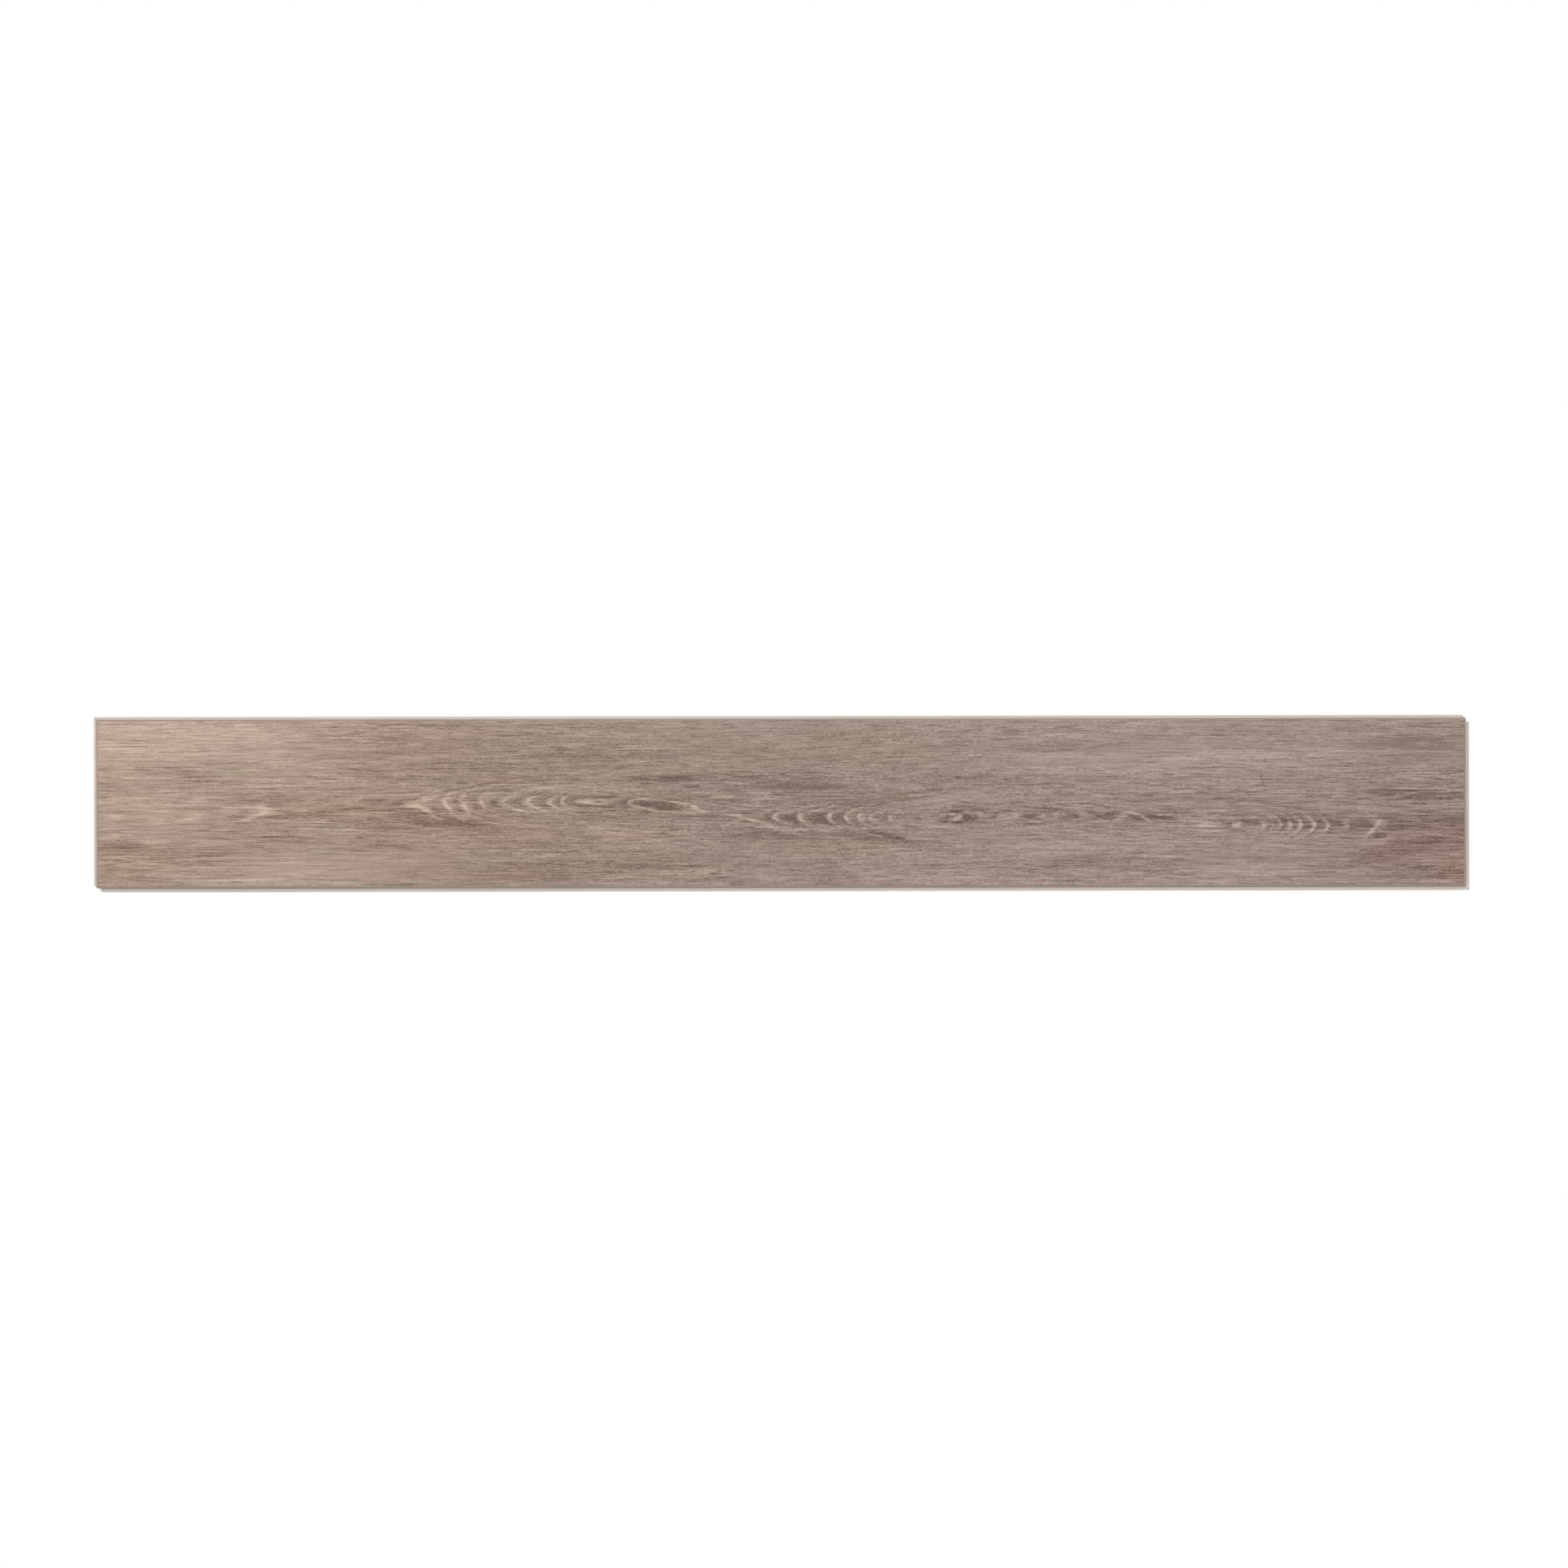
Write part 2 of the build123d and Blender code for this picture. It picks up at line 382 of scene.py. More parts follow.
# Single dashes and blots of the grain, in the same terms.
grain_marks = [
    (-585, -39, 30, 1.3, 0, -0.5), (-590, -35, 20, 1, 0, -0.25), (-548, 10, 35, 1, 0, -0.35),
    (-542, 11.6, 12, 1, 0, 0.45), (-525, 23.7, 18, 1, 0, -0.4), (-527, 29.5, 13, 1.2, 0, -0.4),
    (-511, 35.2, 7, 1.1, 0, -0.4), (-498, 18, 4, 1.5, 0, -0.4), (-423, 35.2, 9, 1.2, 0, 0.4),
    (-420, 37, 9, 0.9, 0, -0.35), (-427, 10, 8, 1, 0, 0.35), (-454, -6.8, 7, 2.2, 0, 0.35),
    (-479, -1.6, 15, 1.3, -0.14, 0.42), (-520, -8, 12, 2.2, -0.1, 0.3), (-530, -14, 16, 1.7, 0.25, 0.3),
    (-593, -10.5, 10, 2.4, 0.15, 0.3), (-484, -10.8, 14, 1.4, 0.05, -0.35), (-478, -7.5, 8, 2, 0, -0.25),
    (-470, 2.6, 16, 1.2, 0, -0.35), (-445, -6.8, 12, 1.4, 0, -0.3), (-448, -13, 18, 2, 0, -0.3),
    (-452, -17.5, 11, 1.2, 0, -0.25), (-434, -15.7, 12, 1.2, 0, -0.3), (-398, -15.8, 12, 1.2, 0, -0.4),
    (-380, -21.5, 26, 1.2, 0, -0.3), (-275, 12.5, 58, 1.2, 0.18, 0.3), (-272, 15.5, 60, 1.6, 0.18, -0.28),
    (-235, 9.5, 45, 1.1, 0.17, 0.26), (-200, 15, 50, 1.1, 0.04, 0.22), (-285, -16.5, 30, 1.2, -0.3, -0.3),
    (-262, -16, 28, 1.1, -0.24, 0.28), (-236, -16.5, 26, 1.1, -0.22, 0.28),
    (120, 4, 60, 1.4, 0.16, -0.22), (150, 12, 80, 1.3, 0.1, -0.24), (70, -24.5, 30, 1.2, -0.32, 0.3),
    (88, -27, 42, 2.4, -0.28, -0.22), (240, -2, 60, 1.2, 0.06, -0.22), (-345, -0.8, 14, 1.8, 0, -0.35),
    (-352, -20.5, 40, 1.2, 0, -0.25), (-330, -22.5, 30, 1.2, 0, -0.25), (-314, 3.8, 17, 1.9, 0.33, 0.38),
    (-327, -1.2, 8, 2, 0, 0.38), (-317, -5.5, 13, 3, -0.6, 0.55), (-308, -12.3, 9, 1.6, -0.3, 0.4),
    (-308, -5.5, 7, 4, -0.3, -0.3), (-325, -9.5, 12, 2.4, -0.1, -0.2), (-305, -18, 45, 3, -0.05, -0.2),
    (-286, -12, 10, 1.5, -0.3, 0.35), (-296, 5.2, 6, 1.3, 0, 0.3), (-289, -5, 6, 4, -0.5, -0.25),
    (-268, -13, 11, 1.5, -0.2, 0.3), (-283.5, 6.8, 4, 1.1, 0, 0.5), (-272, -4, 5, 4, -0.3, -0.2),
    (-255, 1, 6, 1.7, 0, -0.4), (-234, -6, 15, 1.5, -0.36, 0.45), (-240, 4, 7, 1.2, 0.1, 0.3),
    (-215, -5.5, 10, 1.4, -0.4, 0.35), (-196, -4.2, 10, 1.1, -0.1, 0.3), (-174, 2, 12, 2.3, 0, 0.27),
    (-166, -0.3, 9, 1, 0, 0.3), (-152, 2.5, 10, 1.2, 0.12, 0.4), (-163, 1.2, 6, 1.1, 0, -0.5),
    (-176, -2.2, 11, 1, 0, -0.3), (-160, -2.8, 12, 1.7, 0, -0.25), (-151, 5.4, 12, 1, 0, -0.35),
    (-141, 0, 5, 4, 0, -0.25), (-121, -5.2, 13, 1.3, -0.22, 0.4), (-111, -7.8, 7, 1.2, -0.1, 0.35),
    (-121, 3.8, 15, 1.2, 0.04, 0.4), (-92, 0.5, 17, 1.3, -0.16, 0.45), (-77, -3.8, 6, 1.6, -0.4, 0.5),
    (-70, -7.3, 7, 1.8, -0.3, 0.5), (-84, -9.4, 15, 1, 0, 0.35), (-107, -2.4, 32, 5.6, -0.1, -0.38),
    (-88, -11.8, 36, 1.5, 0, -0.25), (-50, -12.5, 22, 1.2, -0.05, -0.2),
    (-44, -10.6, 12, 1.4, -0.05, 0.45), (-33, -13, 11, 1.5, -0.3, 0.5), (-26, -15.2, 6, 1.6, -0.3, 0.5),
    (-14, -18.5, 13, 1.3, -0.28, 0.45), (-52, 5.5, 16, 1.1, 0, 0.5), (-17, 4, 16, 1.3, 0, 0.55),
    (-22, 8.6, 14, 1, 0, 0.4), (-45, 2.8, 26, 1.2, 0, -0.4), (-67, 6, 9, 1.4, 0, -0.3),
    (-80, 14.5, 9, 1.2, 0, -0.3), (-120, 17.5, 7, 1.3, 0, -0.45), (-22, 17.5, 9, 1.1, 0, -0.3),
    (-126, 22, 14, 2.5, 0, -0.35), (-88, 23.5, 12, 2, 0, -0.3), (6, -13, 11, 4, 0, -0.15),
    (-11, -12, 4, 4.5, 0, -0.2), (6, -19.3, 7, 1.2, -0.25, 0.35), (20, -24, 11, 1.2, -0.4, 0.4),
    (-12, -20.5, 11, 1.1, -0.15, 0.3), (-5, -23, 10, 1.1, -0.2, 0.3), (13, -27.5, 6, 1.4, -0.3, 0.3),
    (26, -20.6, 10, 1.3, -0.3, 0.4), (38, -23.4, 10, 1.3, -0.25, 0.4), (29, -7.2, 11, 1.2, 0.08, 0.35),
    (31, -14, 13, 6, 0, -0.2), (29, -18, 6, 1.8, 0, -0.25), (51.5, -22, 4.5, 1.8, -0.5, 0.45),
    (50, -12, 6, 5, 0, -0.15), (73, -22.5, 4, 1.4, -0.3, 0.4), (103, -16.3, 9, 1.4, 0, 0.2),
    (125, -14, 2, 5, 0, 0.25), (124, -14.2, 7, 1, 0, -0.35), (156, -7.9, 8, 1.5, 0, -0.9),
    (153, -10.3, 4, 1.5, 0.3, 0.35), (158, -12.8, 3.4, 2.6, 0, 0.75), (155, -15.5, 4.5, 1.2, 0, 0.45),
    (149.5, -12.5, 2.4, 4.8, 0, -0.45), (165, -13.2, 5.5, 4.8, 0, -0.75), (172, -13.2, 6.5, 3.8, 0, -0.5),
    (157, -17.5, 7, 1.8, 0.1, -0.9), (143, -16.5, 9, 2, 0, -0.3), (193, -9.5, 5.5, 1.4, 0.5, -0.4),
    (201, -7.3, 7, 1.1, 0, -0.35), (188, -13, 3.5, 1.7, 0.3, -0.25), (197, -13, 11, 3.5, 0, 0.2),
    (209.5, -11.5, 4, 3.5, 0, 0.4), (221, -12.5, 10, 2.5, 0, -0.3), (224, -17, 11, 1, 0, 0.55),
    (233, -12, 4.5, 2.7, 0, 0.3), (245.5, -10.5, 4, 3.5, 0, 0.28), (252, -10.5, 2, 2.7, 0, 0.35),
    (241, -6.5, 6, 1, 0, -0.3), (234, -3.5, 3.5, 1.2, 0, -0.3), (263, -13, 8, 3, 0, -0.18),
    (267.5, -11, 4, 2.7, 0, 0.45), (274, -11.6, 6, 1.2, 0, 0.35), (276, -8.8, 7, 1.2, 0, -0.45),
    (289, -13, 14, 3.4, 0, -0.22), (279, -15, 5, 1.2, 0, -0.3), (283, -17, 14, 1, 0, 0.5),
    (278, -18.8, 9, 0.9, 0, -0.3), (290.5, -2, 4, 1, 0, 0.4), (290.5, -3.7, 4.5, 1, 0, -0.4),
    (305, -11.5, 7, 3.2, 0.3, 0.38), (300, -15.5, 5.5, 1.4, 0.4, 0.35), (313, -9.6, 7, 1.3, -0.2, 0.45),
    (322, -13, 6.5, 1.6, -0.6, 0.5), (328, -16.5, 5, 1.7, -0.4, 0.5), (316, -13.8, 9, 3.2, -0.15, -0.3),
    (332, -12.8, 10, 2, -0.05, -0.3), (346, -14.8, 11, 2.2, 0, -0.3), (337, -11, 4.5, 1.1, 0, 0.4),
    (352, -13, 7, 0.9, 0, 0.35), (372, -17.3, 15, 1.4, -0.04, 0.35), (384, -18.8, 12, 1.2, 0, 0.4),
    (379, -21.2, 17, 1.5, 0, 0.45), (364, -20, 6, 1.1, 0, -0.3), (386, -25.5, 17, 1, 0, 0.4),
    (386, -23.6, 13, 1, 0, -0.3), (406, -20, 6, 3.2, 0, 0.55), (398, -20, 4, 4, 0, -0.3),
    (416, -17.5, 9, 1.2, 0, -0.3), (412, -12, 15, 1, 0, -0.35), (370, -12.5, 7, 1, 0, -0.4),
    (423, -27.5, 8, 1.1, 0.2, 0.3), (441, -18.5, 3.5, 3, 0, -0.25), (449, -18.5, 4.5, 4, 0, -0.32),
    (458.5, -20.5, 4.5, 4.5, 0, -0.3), (469, -20, 5.5, 5, 0, -0.36), (482, -20.5, 4.5, 4, 0, -0.22),
    (481, -26, 6, 1.1, 0, 0.35), (509, -23.5, 5, 2.4, 0, -0.35), (497, -20, 6, 4.5, 0, -0.22),
    (520, -19.5, 9, 5, 0, -0.2), (533, -30.5, 9, 2.8, 0.1, -0.4), (501, -13.6, 9, 0.9, 0, -0.4),
    (528, -14.2, 11, 0.9, 0, -0.35), (457, -4.5, 14, 1.1, 0, -0.35), (560, 10.3, 50, 1, 0, -0.5),
    (562, 7.6, 10, 1.6, 0.15, 0.4), (556, 3.8, 10, 1.1, 0.05, -0.45), (538, 5.6, 13, 1, 0, -0.3),
    (573, -22.8, 8, 1.2, 0, -0.5), (566, -21, 8, 0.9, 0, 0.4), (566, -17, 7, 1.2, -0.2, 0.3),
    (587, -3, 9, 1.2, 0, 0.35), (573, -10.8, 26, 0.9, 0, 0.3), (575, -12.4, 28, 1, 0, -0.35),
    (590, -32.5, 19, 1.4, 0, -0.45), (549, -33, 9, 1.5, 0, -0.3), (572, -37, 28, 1.4, 0.05, -0.35),
    (553, -43.5, 15, 1.2, 0, -0.4), (530, -46, 18, 1.4, 0.05, -0.3), (504, -19.5, 5, 3.4, 0, 0.5),
]
mark_core = 0.35  # share of a mark's reach that has its full tone

# Tips of growth rings that stand out: (along, across, half height, bend, slant, half width, tone). A tip
# with a bend above zero closes to the left.
ring_lines = [
    (-461, -5.6, 5.6, 0, -0.5, 6.5, 0.42), (-469, -11.4, 4.4, 0, 2.7, 5.5, 0.5),
    (-296.8, -3.5, 7.5, 1.5, -0.6, 2.4, 0.5), (-281, -4.5, 7, 1.2, -0.45, 2.8, 0.5),
    (-265.5, -1.5, 4.5, 0.5, -0.2, 2.2, 0.38), (-247, 0.8, 4.5, 7, -0.3, 2.6, 0.5),
    (-225.5, 1, 5, 7, -0.4, 3.2, 0.5), (-205.5, 0.8, 5.5, 8, 0, 2.4, 0.45),
    (-195.5, 1.8, 4.5, 5, 0, 2.2, 0.5), (-135.5, -0.4, 4, 6, -0.2, 2, 0.5),
    (-5.8, -12.5, 4.5, 3.5, -0.25, 2.6, 0.5), (16.5, -13, 5.5, 3.5, -0.25, 2.6, 0.5),
    (42.5, -13, 5.5, 4, -0.1, 2.6, 0.5), (57.5, -13, 5.5, 4.5, -0.1, 2, 0.45),
    (69, -12, 5, 5, 0, 2.2, 0.3), (80, -13.5, 5, 5, 0, 2.2, 0.25), (97, -13.5, 3, 2, 0, 2.4, 0.45),
    (430.5, -21.5, 5.5, -4, -0.1, 1.8, 0.45), (438, -21, 5, -1.5, 0.1, 1.6, 0.3),
    (444.8, -20.5, 5, -1, 0, 1.5, 0.3), (453.8, -20, 6, -2, 0.05, 1.7, 0.42),
    (463, -20.5, 6, -3.5, 0, 1.8, 0.42), (475.8, -20.8, 6.5, -6.5, 0.05, 2.4, 0.45),
    (487, -21, 5.5, -4.5, -0.15, 2, 0.38), (527.5, -24.5, 10, -1.5, 0.85, 3.4, 0.4),
    (428.5, 19.5, 5, 1, -0.35, 1.2, -0.4),
]


def add_patches(tree, total, place, patches, core=0.0):
    """Soft oval patches of tone added to a sum. The core is the share of a patch that has its full tone."""
    for along, across, reach_along, reach_across, slope, tone in patches:
        oval = add_node(tree, "ShaderNodeTexGradient", gradient_type="SPHERICAL")
        feed(tree, oval.inputs[0], place)
        oval.texture_mapping.vector_type = "TEXTURE"
        oval.texture_mapping.translation = (along, across, 0.0)
        oval.texture_mapping.rotation = (0.0, 0.0, math.atan(slope))
        oval.texture_mapping.scale = (reach_along, reach_across, 1.0)
        inward = oval.outputs["Fac"]
        total = calculate(tree, "ADD", total, fade(tree, inward, 0.0, 1.0 - core, 0.0, tone))
    return total


def add_ring_lines(tree, total, along, across):
    """Tips of growth rings added to a sum."""
    for measures in ring_lines:
        node = add_node(tree, "ShaderNodeGroup", node_tree=bow)
        for socket, value in zip(node.inputs, (along, across, *measures, total)):
            feed(tree, socket, value)
        total = node.outputs[0]
    return total


# Fibres, by length and height in millimetres, detail of the noise, and a seed that sets them apart.
fibre_kinds = {
    "wander": (380.0, 60.0, 0.0, 5.0),
    "ragged": (14.0, 0.9, 1.0, 3.0),
    "short": (3.8, 1.0, 1.0, 11.0),
    "medium": (16.0, 1.2, 1.0, 17.0),
    "long": (60.0, 1.4, 1.0, 23.0),
    "coarse": (160.0, 9.0, 1.0, 37.0),
    "specks": (1.3, 0.9, 0.0, 41.0),
    "hue": (170.0, 20.0, 2.0, 53.0),
    "cutter lines": (1.0, 1.0, 3.0, 61.0),
    "mineral": (0.8, 0.8, 2.0, 67.0),
}

# Dashes, by length and height in millimetres.
dash_kinds = {
    "short dashes": (9.0, 1.1),
    "long dashes": (46.0, 1.0),
    "bold dashes": (15.0, 0.9),
}


def add_fibres(tree, place, kind):
    """Fibres of one kind."""
    length, height, detail, seed = fibre_kinds[kind]
    return use_group(tree, fibres, Place=place, Length=length, Height=height, Detail=detail, Seed=seed)


def add_dashes(tree, place, kind):
    """Dashes of one kind."""
    length, height = dash_kinds[kind]
    return use_group(tree, dashes, Place=place, Length=length, Height=height)


wander_height = 2.0  # millimetres that the fibres stray up and down
knot_place = (160.0, -13.2)
knot_parting = (70, 26, 0, -0.6)  # of the fibres that run round the knot, in the terms of the broad tones


def part_fibres(tree, straight, along, across):
    """Place for the fibres' textures: they stray a little and part round the knot."""
    wander = add_fibres(tree, straight, "wander")
    parting = add_patches(tree, 0.0, straight, [(*knot_place, *knot_parting)])
    off_knot = calculate(tree, "SUBTRACT", across, knot_place[1])
    aside = calculate(tree, "MULTIPLY", off_knot, parting)
    level = calculate(tree, "ADD", across, aside)
    return vector(tree, along, calculate(tree, "MULTIPLY_ADD", wander, wander_height, level))


bold_from = 0.6  # the bold dashes with a tone past this show, dark or pale
dark_dash = -0.20
pale_dash = 0.18
ring_breaks = 0.8  # how much the medium fibres break up the rings


def make_streaks(tree, flat, place):
    """All that the grain is mixed from, and what breaks up the rings, by name."""
    streaks = {}
    for kind in ("short", "medium", "long", "coarse", "specks"):
        streaks[kind] = add_fibres(tree, flat, kind)
    for kind in ("short dashes", "long dashes"):
        streaks[kind] = add_dashes(tree, flat, kind)
    bold = add_dashes(tree, place, "bold dashes")
    streaks["dark dashes"] = fade(tree, bold, bold_from, 1.0, 0.0, dark_dash)
    streaks["pale dashes"] = fade(tree, bold, -bold_from, -1.0, 0.0, pale_dash)
    streaks["ring breaks"] = calculate(tree, "MULTIPLY_ADD", streaks["medium"], ring_breaks, 1.0)
    return streaks


# Shares of the grain: where the fibres are short, and how much more it is where they are long.
hairline_share = (0.2, 0.8)
long_share = (0.09, 0.15)
short_share = (0.38, -0.14)
even_shares = {"medium": 0.16, "specks": 0.20, "short dashes": 0.11}
hairline_tone = 0.05  # of the long dashes
hairline_accent = 0.17  # of their cube, which lets the palest and darkest stand out


def share_of(tree, drawn_out, share):
    """A share of the grain at a place with fibres that are more or less drawn out."""
    least, more = share
    return calculate(tree, "MULTIPLY_ADD", drawn_out, more, least)


def mix_grain(tree, along, streaks):
    """The fine grain: long fibres near the plank's ends and short flecks near its middle."""
    drawn_out = plank_curve(tree, along, fibre_length)
    dashed = streaks["long dashes"]
    squared = calculate(tree, "MULTIPLY", dashed, dashed)
    cubed = calculate(tree, "MULTIPLY", dashed, squared)
    plain = calculate(tree, "MULTIPLY", dashed, hairline_tone)
    hairlines = calculate(tree, "MULTIPLY_ADD", cubed, hairline_accent, plain)
    grain = calculate(tree, "MULTIPLY", hairlines, share_of(tree, drawn_out, hairline_share))
    for kind, share in (("long", long_share), ("short", short_share)):
        grain = calculate(tree, "MULTIPLY_ADD", streaks[kind], share_of(tree, drawn_out, share), grain)
    for kind, share in even_shares.items():
        grain = calculate(tree, "MULTIPLY_ADD", streaks[kind], share, grain)
    bold = calculate(tree, "ADD", streaks["dark dashes"], streaks["pale dashes"])
    return calculate(tree, "ADD", grain, bold)


# How cool the painted light on the print is along the plank, from warm, 0, to cool, 1: painted warm light
# at the left end.
painted_light_coolness = [
    (-610, 0), (-350, 0.15), (-100, 0.58), (100, 0.7), (300, 1), (500, 1), (610, 0.6),
]
# Painted light, multiplied into the print: warm at the left end and cool towards the right.
painted_warm_light = (1.036, 0.997, 0.938, 1)
painted_cool_light = (0.983, 0.999, 1.057, 1)

# Where the print is pinker, more olive and more amber: in the same terms, but with the share of the tint.
pink_tint = (1.042, 0.973, 0.98, 1)
olive_tint = (0.98, 1.01, 0.97, 1)
amber_tint = (1.035, 1.0, 0.955, 1)
pink_patches = [
    (560, -42, 90, 26, 0.15, 1.4), (520, -25, 60, 14, 0, 0.6), (600, -15, 40, 9, 0, 0.6),
    (600, 5, 40, 14, 0, 0.3), (600, -66, 50, 14, 0, 0.9), (340, -12, 50, 8, 0, 0.3),
    (450, -16, 50, 8, 0, 0.3), (-430, -6, 30, 14, 0, 0.7), (-90, -4, 20, 6, 0, 0.5),
    (35, -11, 16, 5, 0, 0.4), (165, -12, 22, 7, 0, 0.5), (-600, -38, 50, 9, 0, 0.8),
    (-240, 22, 50, 12, 0, 0.4), (540, -65, 100, 12, 0, 0.3),
]
olive_patches = [
    (-560, 56, 60, 14, 0, 0.6), (-510, 22, 50, 14, 0, 0.4), (-300, 17, 60, 9, 0, 0.4),
    (-235, 48, 60, 26, 0, 0.6), (-130, 60, 120, 22, 0, 0.7), (-35, 42, 70, 24, 0, 0.5),
    (80, 50, 130, 28, 0, 0.7), (200, 34, 140, 24, 0, 0.6), (-262, -54, 50, 18, 0, 0.6),
    (-190, 3, 60, 8, 0, 0.5), (120, 4, 60, 10, 0, 0.4), (55, -40, 120, 20, 0, 0.4),
    (170, -30, 90, 18, 0, 0.5), (300, -65, 60, 12, 0, 0.4),
]
amber_patches = [
    (-590, -52, 90, 22, 0.05, 0.9), (-600, 40, 60, 40, 0, 0.4), (-360, -6, 150, 18, -0.05, 0.8),
    (-260, -20, 110, 16, -0.08, 0.6), (-105, -3, 45, 8, -0.1, 0.8), (-230, -62, 90, 14, 0, 0.5),
    (-110, 22, 60, 8, 0, 0.5), (-160, -28, 90, 10, 0, 0.3), (20, 16, 70, 8, 0, 0.4),
    (605, -60, 40, 18, 0, 0.5),
]

# Where the hue noise begins to tint the print, and where it does so in full.
pink_noise = (0.12, 0.7)
olive_noise = (-0.05, -0.6)


def paint_light_and_tint_print(tree, colour, along, straight, flat):
    """A colour with painted warm light at the left end, cooler towards the right, and the print's pink,
    olive and amber patches.
    """
    # Painted light: warm at the left end, cool towards the right.
    painted_light_tint = mix_colour(tree, plank_curve(tree, along, painted_light_coolness), painted_warm_light, painted_cool_light)
    colour = mix_colour(tree, 1.0, colour, painted_light_tint, "MULTIPLY")
    hue = add_fibres(tree, flat, "hue")
    pink = add_patches(tree, fade(tree, hue, *pink_noise), straight, pink_patches)
    olive = add_patches(tree, fade(tree, hue, *olive_noise), straight, olive_patches)
    amber = add_patches(tree, 0.0, straight, amber_patches)
    for share, tint in ((pink, pink_tint), (olive, olive_tint), (amber, amber_tint)):
        colour = mix_colour(tree, share, colour, tint, "MULTIPLY")
    return colour


mark_raggedness = 6.0  # millimetres that the fibres pull the rings and marks along the plank
line_raggedness = 2.5  # the same for the ring lines
mark_breaks = 0.45  # how much the medium fibres break up the marks
mark_contrast = 0.62
ring_contrast = 0.36
coarse_contrast = 0.10
busy_drift = 0.5  # how much the coarse fibres change the grain's contrast
middle_tone = 0.48

# Colour of the limed oak for each tone.
limed_oak = [
    (0.0, srgb(99, 79, 68)),
    (0.25, srgb(129, 109, 97)),
    (0.5, srgb(157, 137, 125)),
    (0.75, srgb(177, 157, 145)),
    (1.0, srgb(198, 179, 166)),
]


def make_decor(tree, along, across):
    """Colour of the printed oak, with painted warm light at its left end, and the relief of its grain."""
    straight = vector(tree, along, across)
    flat = part_fibres(tree, straight, along, across)
    ragged = add_fibres(tree, flat, "ragged")
    ragged_along = calculate(tree, "MULTIPLY_ADD", ragged, mark_raggedness, along)
    place = vector(tree, ragged_along, across)
    near_along = calculate(tree, "MULTIPLY_ADD", ragged, line_raggedness, along)

    rings = make_rings(tree, along, ragged_along, across)
    streaks = make_streaks(tree, flat, place)
    grain = mix_grain(tree, along, streaks)
    busy = calculate(tree, "MULTIPLY_ADD", streaks["coarse"], busy_drift, 1.0)
    busy = add_patches(tree, busy, straight, calm_patches)

    tone = calculate(tree, "ADD", plank_curve(tree, along, light_along, *light_range), middle_tone)
    tone = calculate(tree, "MULTIPLY_ADD", streaks["coarse"], coarse_contrast, tone)
    tone = calculate(tree, "MULTIPLY_ADD", grain, busy, tone)
    rings = calculate(tree, "MULTIPLY", rings, streaks["ring breaks"])
    tone = calculate(tree, "MULTIPLY_ADD", rings, ring_contrast, tone)
    tone = add_patches(tree, tone, straight, broad_tones)
    marks = add_patches(tree, 0.0, place, grain_marks, mark_core)
    marks = add_ring_lines(tree, marks, near_along, across)
    breaks = calculate(tree, "MULTIPLY_ADD", streaks["medium"], mark_breaks, mark_contrast)
    tone = calculate(tree, "ADD", tone, calculate(tree, "MULTIPLY", marks, breaks))

    # The print's colour gets its tints here, with the painted warm light at the left end.
    colour = paint_light_and_tint_print(tree, colour_ramp(tree, tone, limed_oak), along, straight, flat)
    return colour, calculate(tree, "ADD", streaks["short"], streaks["medium"])


# Finish of the whole plank

bevel_paint = srgb(156, 140, 130)
core_colour = srgb(214, 204, 195)
core_shade = srgb(194, 184, 175)
core_middle = 0.4  # share of that shade in the core, before its noise
mineral_share = 0.9  # what the mineral's noise adds to it
cutter_share = 0.5  # what the cutter lines' noise adds to it
cutter_stretch = (0.01, 0.07)  # of the cutter lines, along and across the plank

print_edge = 0.005  # millimetres under the face, where the paint begins
relief_ends = (0.6, -0.6)  # grain that stands high and lies low
face_roughness = (0.5, 0.66)  # of these two
core_roughness = 0.2  # more than the face's
face_specular = 0.3
relief_strength = 0.5
relief_depth = 0.0001  # metres


def make_core(tree, place, along, across, height):
    """Colour of the milled mineral core, and the fine lines that the cutters leave along every edge."""
    path_along = calculate(tree, "MULTIPLY", along, cutter_stretch[0])
    path_across = calculate(tree, "MULTIPLY", across, cutter_stretch[1])
    cutter_lines = add_fibres(tree, vector(tree, path_along, path_across, height), "cutter lines")
    mineral = add_fibres(tree, place, "mineral")
    shade = calculate(tree, "MULTIPLY_ADD", mineral, mineral_share, core_middle)
    shade = calculate(tree, "MULTIPLY_ADD", cutter_lines, cutter_share, shade)
    return mix_colour(tree, shade, core_colour, core_shade), cutter_lines


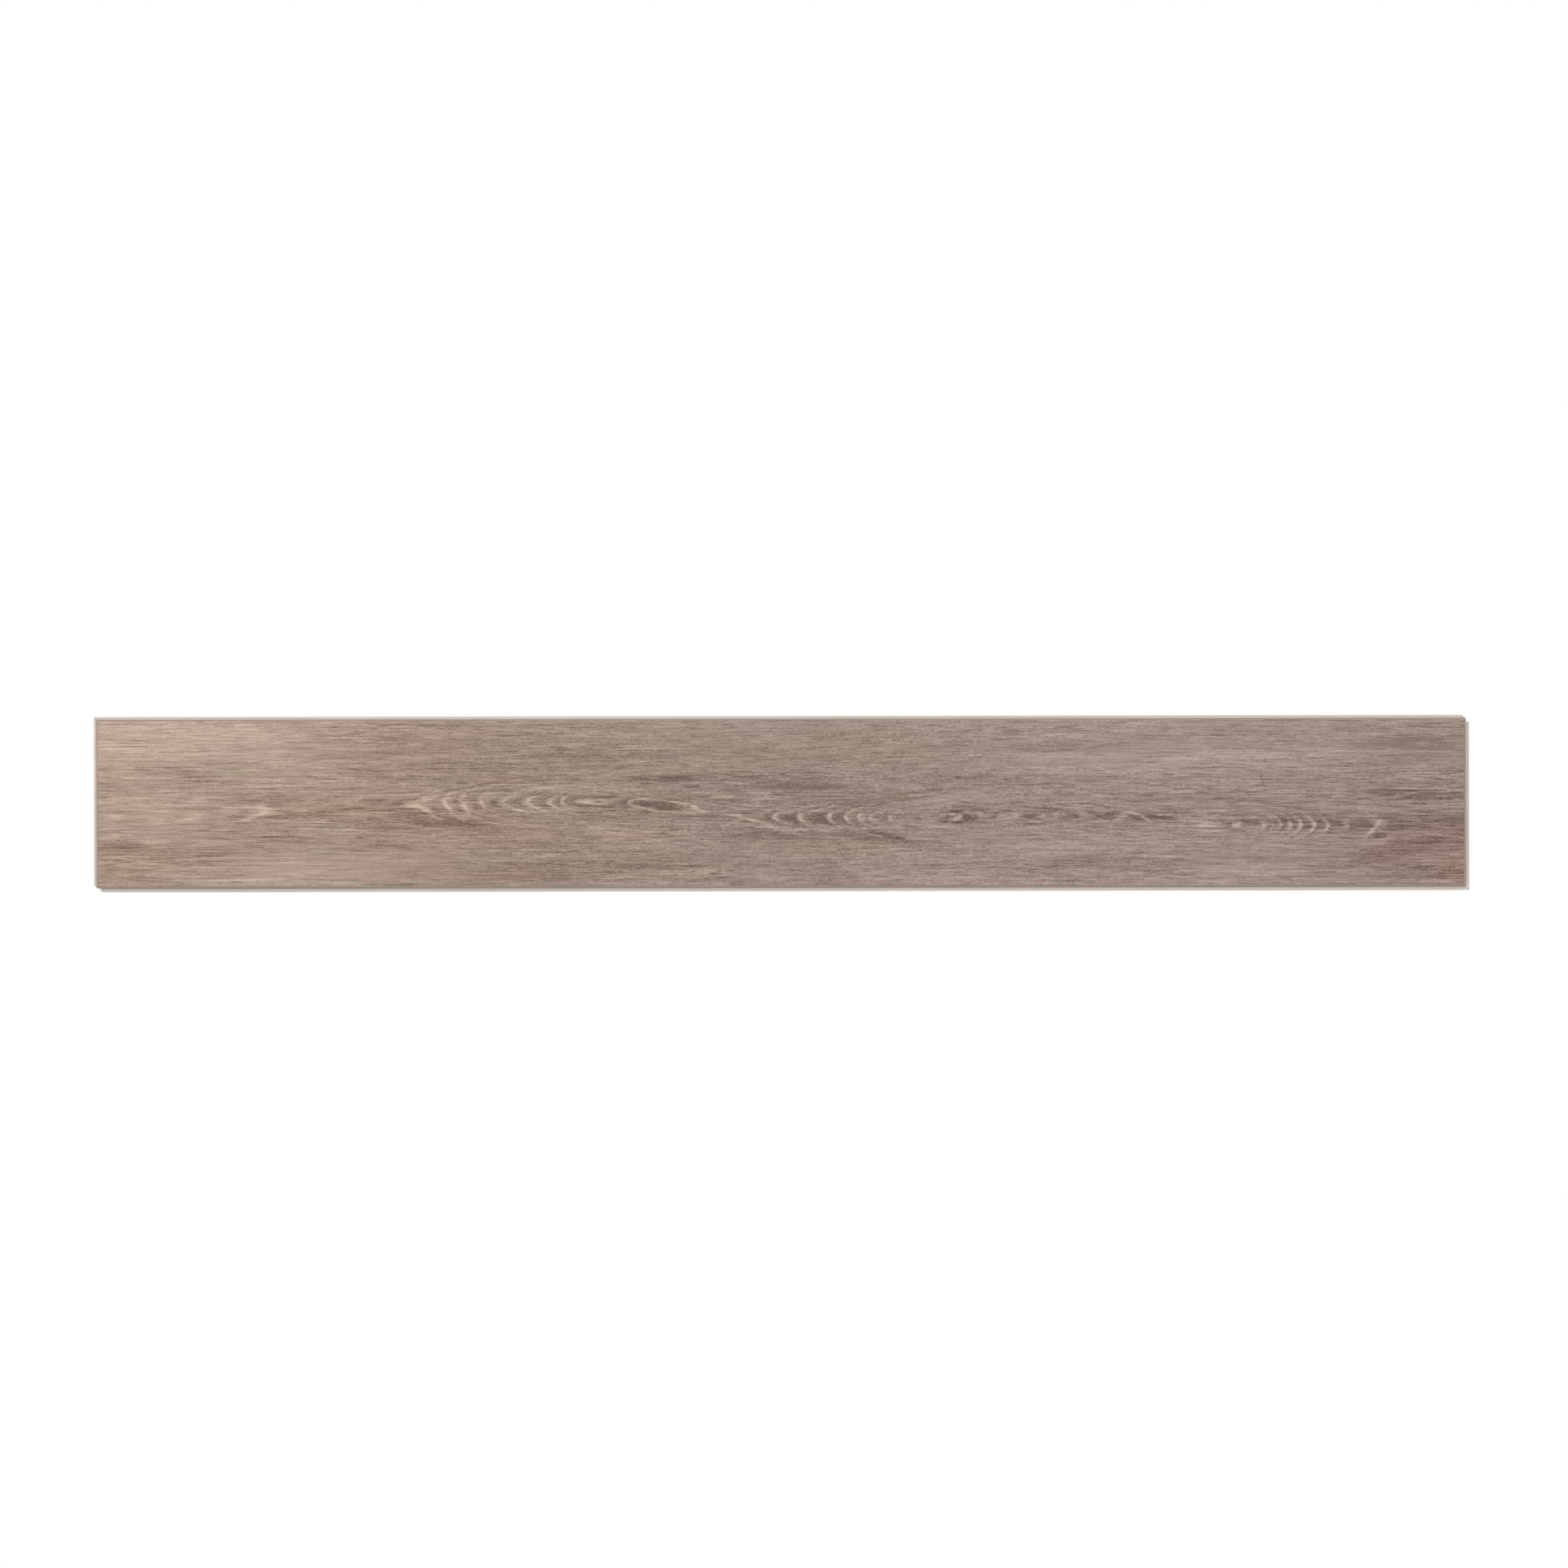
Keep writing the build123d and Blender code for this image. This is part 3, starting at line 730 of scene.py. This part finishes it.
def make_oak_decor_vinyl():
    """Printed oak on the face, brown paint on the bevel and light mineral core on all that was milled."""
    material = bpy.data.materials.new("oak_decor_vinyl")
    material.use_nodes = True
    tree = material.node_tree
    shader = tree.nodes["Principled BSDF"]
    texture = add_node(tree, "ShaderNodeTexCoord")
    scaled = add_node(tree, "ShaderNodeVectorMath", operation="SCALE")
    feed(tree, scaled.inputs[0], texture.outputs["Object"])
    feed(tree, scaled.inputs["Scale"], mm)
    parts = add_node(tree, "ShaderNodeSeparateXYZ")
    feed(tree, parts.inputs[0], scaled.outputs[0])
    along, across, height = parts.outputs

    # The decor's colour holds the painted warm light at the plank's left end.
    decor, grain = make_decor(tree, along, across)
    milled, cutter_lines = make_core(tree, scaled.outputs[0], along, across, height)
    on_bevel = calculate(tree, "LESS_THAN", height, face_height - print_edge)
    on_core = calculate(tree, "LESS_THAN", height, bevel_foot)
    colour = mix_colour(tree, on_bevel, decor, bevel_paint)
    colour = mix_colour(tree, on_core, colour, milled)
    feed(tree, shader.inputs["Base Color"], colour)
    sheen = fade_straight(tree, grain, *relief_ends, *face_roughness)
    roughness = calculate(tree, "MULTIPLY_ADD", on_core, core_roughness, sheen)
    feed(tree, shader.inputs["Roughness"], roughness)
    shader.inputs["Specular IOR Level"].default_value = face_specular
    grain = calculate(tree, "MULTIPLY", grain, calculate(tree, "SUBTRACT", 1.0, on_bevel))
    relief = calculate(tree, "MULTIPLY_ADD", cutter_lines, on_core, grain)
    bump = add_node(tree, "ShaderNodeBump")
    feed(tree, bump.inputs["Strength"], relief_strength)
    feed(tree, bump.inputs["Distance"], relief_depth)
    feed(tree, bump.inputs["Height"], relief)
    feed(tree, shader.inputs["Normal"], bump.outputs[0])
    return material


plank.material_slots[0].material = make_oak_decor_vinyl()


# Studio

camera_lens = 85.0  # millimetres
sensor = 36.0  # millimetres across
picture_width = 1396.8  # millimetres across the picture, at the decor face
picture_centre = (2.7, 16.8)  # millimetres from the middle of the face
picture_turn = -0.10  # degrees

key_direction = Vector((-0.28, 0.32, 0.90))  # from the plank to the key light
key_angle = 25.0  # degrees across, as a large softbox
key_strength = 1.56
fill_strength = 0.55
backdrop_strength = 1.0  # what the camera sees of the world

floor_size = (2.0, 0.7)  # metres, well past the plank's shadow
floor_gap = 0.0002  # metres below the plank
floor_grey = 0.8
floor_glow = 0.26  # lifts the floor to white for the camera


def seen_directly(tree):
    """1 for what the camera sees, also mirrored or through glass, and 0 for light that bounces."""
    path = add_node(tree, "ShaderNodeLightPath")
    return add_up(tree, [path.outputs["Is Camera Ray"], path.outputs["Is Glossy Ray"],
                         path.outputs["Is Transmission Ray"]])


def make_floor():
    """Pale floor: white to the camera, with the plank's shadow on it, and clear from below."""
    bpy.ops.mesh.primitive_plane_add(size=1.0, location=(0, 0, -floor_gap))
    floor = bpy.context.active_object
    floor.name = "floor"
    floor.scale = (*floor_size, 1.0)
    material = bpy.data.materials.new("pale_floor")
    material.use_nodes = True
    tree = material.node_tree
    matt = add_node(tree, "ShaderNodeBsdfDiffuse")
    matt.inputs["Color"].default_value = grey(floor_grey)
    glow = add_node(tree, "ShaderNodeEmission")
    feed(tree, glow.inputs["Strength"], calculate(tree, "MULTIPLY", seen_directly(tree), floor_glow))
    lit = add_node(tree, "ShaderNodeAddShader")
    feed(tree, lit.inputs[0], matt.outputs[0])
    feed(tree, lit.inputs[1], glow.outputs[0])
    clear = add_node(tree, "ShaderNodeBsdfTransparent")
    side = add_node(tree, "ShaderNodeNewGeometry")
    both = add_node(tree, "ShaderNodeMixShader")
    feed(tree, both.inputs[0], side.outputs["Backfacing"])
    feed(tree, both.inputs[1], lit.outputs[0])
    feed(tree, both.inputs[2], clear.outputs[0])
    feed(tree, tree.nodes["Material Output"].inputs["Surface"], both.outputs[0])
    floor.data.materials.append(material)
    floor.visible_diffuse = False  # so that even light reaches the plank's underside


def make_light():
    """Soft key light from the upper left, and even light from all round."""
    lamp = bpy.data.lights.new("key", "SUN")
    lamp.energy = key_strength
    lamp.angle = math.radians(key_angle)
    key = bpy.data.objects.new("key", lamp)
    key.rotation_euler = key_direction.to_track_quat("Z", "Y").to_euler()
    bpy.context.scene.collection.objects.link(key)
    world = bpy.data.worlds.new("studio")
    world.use_nodes = True
    tree = world.node_tree
    back = tree.nodes["Background"]
    strength = fade_straight(tree, seen_directly(tree), 0.0, 1.0, fill_strength, backdrop_strength)
    feed(tree, back.inputs["Strength"], strength)
    back.inputs["Color"].default_value = grey(1.0)
    bpy.context.scene.world = world


def make_camera():
    """Camera straight above, with the plank where the photograph has it."""
    data = bpy.data.cameras.new("camera")
    data.lens = camera_lens
    data.sensor_width = sensor
    camera = bpy.data.objects.new("camera", data)
    distance = camera_lens * picture_width / sensor
    place = Vector((picture_centre[0], picture_centre[1], face_height + distance))
    camera.location = place / mm
    camera.rotation_euler = (0.0, 0.0, math.radians(picture_turn))
    bpy.context.scene.collection.objects.link(camera)
    bpy.context.scene.camera = camera


make_floor()
make_light()
make_camera()
bpy.context.scene.view_settings.view_transform = "Standard"
